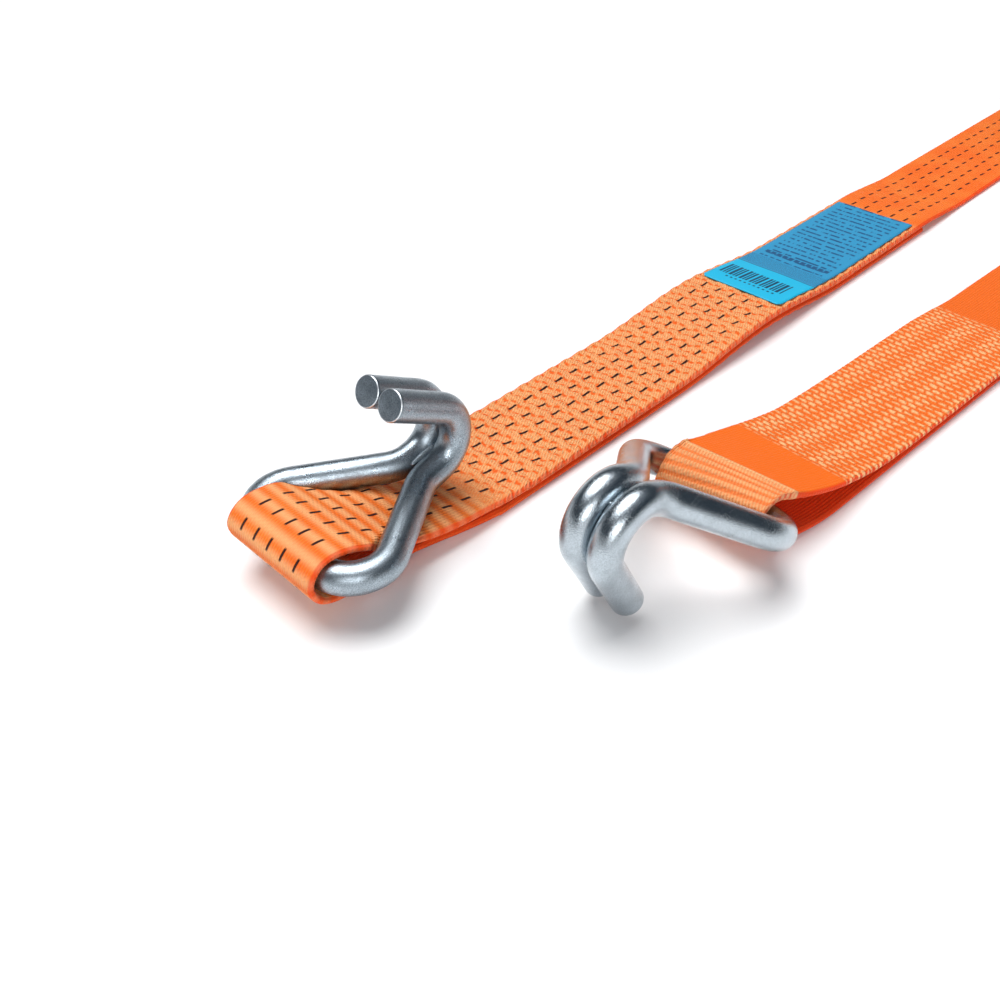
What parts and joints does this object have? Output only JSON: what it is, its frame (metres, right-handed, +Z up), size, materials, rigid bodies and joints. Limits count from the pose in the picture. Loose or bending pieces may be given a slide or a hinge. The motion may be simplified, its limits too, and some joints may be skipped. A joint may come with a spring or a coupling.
{
  "type": "ratchet tie down",
  "caption": "Orange webbing tie down in two ends: double claw hook, sewn loop, blue label and ratchet on one, hook, sewn loop and rolled webbing on the other.",
  "frame": {"origin": "on the floor, under the middle of the whole tie down's box", "axes": "+Y runs along the webbing from the hooks to the ratchet, +X across it towards the loose end, +Z up"},
  "size_m": [0.1756, 0.865, 0.124],
  "materials": {
    "hook_steel": "bright zinc plated round wire with soft mirror highlights and a fine speckle",
    "ratchet_steel": "zinc plated pressed sheet and bar",
    "fastener_steel": "darker zinc plated bolt, nut, washers, pins and springs",
    "webbing": "woven orange polyester with light stitching, and dark tracer threads on the fixed end",
    "label": "printed blue polyester label",
    "grip_rubber": "dull black grip sleeve"
  },
  "bodies": {
    "fixed_end": {"fixed_webbing": "webbing", "care_label": "label", "frame_plate_left": "ratchet_steel", "frame_plate_right": "ratchet_steel", "frame_floor": "ratchet_steel", "anchor_bolt": "fastener_steel", "anchor_nut": "fastener_steel", "anchor_sleeve": "ratchet_steel", "lock_spring_seat": "ratchet_steel", "lock_pawl_spring": "fastener_steel"},
    "fixed_hook_body": {"fixed_hook": "hook_steel", "fixed_hook_weld": "hook_steel"},
    "spindle": {"spindle_half_upper": "ratchet_steel", "spindle_half_lower": "ratchet_steel", "ratchet_wheel_left": "ratchet_steel", "ratchet_wheel_right": "ratchet_steel", "washer_left": "fastener_steel", "washer_right": "fastener_steel", "cotter_left": "fastener_steel", "cotter_right": "fastener_steel"},
    "handle": {"handle_plate_left": "ratchet_steel", "handle_plate_right": "ratchet_steel", "handle_tube": "ratchet_steel", "handle_grip": "grip_rubber", "drive_spring_seat": "ratchet_steel", "drive_pawl_spring": "fastener_steel"},
    "lock_pawl_body": {"lock_pawl": "ratchet_steel"},
    "drive_pawl_body": {"drive_pawl": "ratchet_steel"},
    "loose_end": {"loose_webbing_lead": "webbing", "loose_webbing_roll": "webbing"},
    "loose_hook_body": {"loose_hook": "hook_steel", "loose_hook_weld": "hook_steel"}
  },
  "joints": [
    {"name": "fixed_hook_swing", "type": "hinge", "parent": "fixed_end", "child": "fixed_hook_body", "pos_m": [-0.04128, -0.42126, 0.0194], "axis": [1, 0, 0], "range_deg": [0, 165]},
    {"name": "handle_swing", "type": "hinge", "parent": "fixed_end", "child": "handle", "pos_m": [-0.04278, 0.40874, 0.03], "axis": [-1, 0, 0], "range_deg": [0, 180]},
    {"name": "spindle_turn", "type": "hinge", "parent": "fixed_end", "child": "spindle", "pos_m": [-0.04278, 0.40874, 0.03], "axis": [1, 0, 0], "continuous": true},
    {"name": "lock_pawl_slide", "type": "slide", "parent": "fixed_end", "child": "lock_pawl_body", "axis": [0, -0.866, -0.5], "range_m": [0, 0.0048], "stiffness_N_per_m": 1200, "springref_m": -0.002, "deforming": ["lock_pawl_spring"]},
    {"name": "drive_pawl_slide", "type": "slide", "parent": "handle", "child": "drive_pawl_body", "axis": [0, -1, 0], "range_m": [-0.0045, 0], "stiffness_N_per_m": 1200, "deforming": ["drive_pawl_spring"]},
    {"name": "loose_end_slide", "type": "slide", "parent": "fixed_end", "child": "loose_end", "axis": [1, 0, 0], "range_m": [0, 0.15]},
    {"name": "loose_hook_swing", "type": "hinge", "parent": "loose_end", "child": "loose_hook_body", "pos_m": [0.04342, -0.29656, 0.01635], "axis": [-0.999, 0.0436, 0], "range_deg": [0, 120]}
  ]
}
